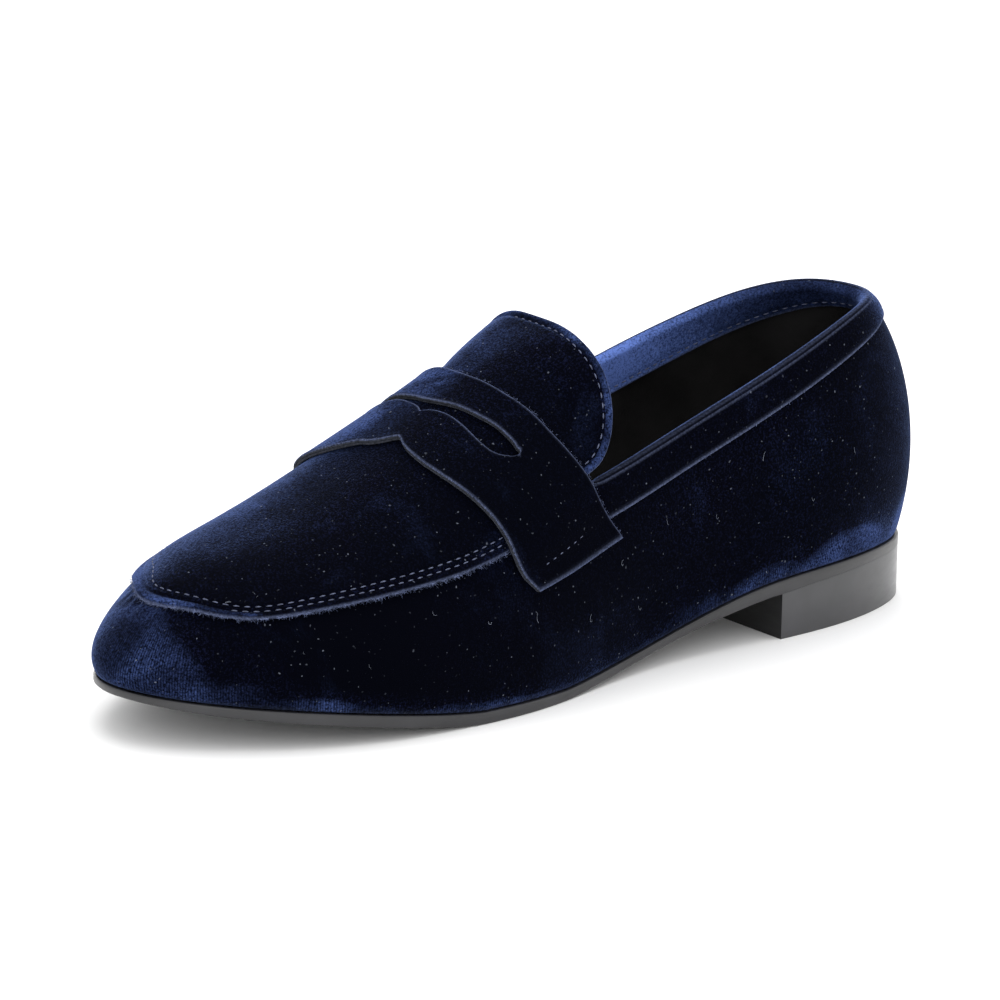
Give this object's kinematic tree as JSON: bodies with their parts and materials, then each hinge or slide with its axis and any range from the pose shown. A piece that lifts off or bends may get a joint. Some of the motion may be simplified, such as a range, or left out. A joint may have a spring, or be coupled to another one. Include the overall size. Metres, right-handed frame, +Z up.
{
  "type": "penny loafer",
  "caption": "Velvet loafer with a raised moccasin apron, slotted saddle strap, round tongue, bound collar, thin sole and low block heel.",
  "frame": {"origin": "middle of the shoe's plan on the floor plane", "axes": "+Z up, toe towards -Y, outer (lateral) side towards +X"},
  "size_m": [0.0824, 0.2534, 0.0871],
  "materials": {
    "velvet_upper": "navy velvet over a leather lining",
    "velvet_apron": "navy velvet",
    "velvet_strap": "navy velvet, raw cut edge",
    "velvet_binding": "folded navy velvet",
    "sole_edge": "black sole, satin dressed edge",
    "heel_block": "black stacked block, polished",
    "insole_leather": "black-brown smooth leather"
  },
  "bodies": {
    "root": {"upper": "velvet_upper", "apron_tongue": "velvet_apron", "saddle_strap": "velvet_strap", "collar_binding": "velvet_binding", "outsole": "sole_edge", "heel": "heel_block", "insole": "insole_leather"}
  },
  "joints": []
}
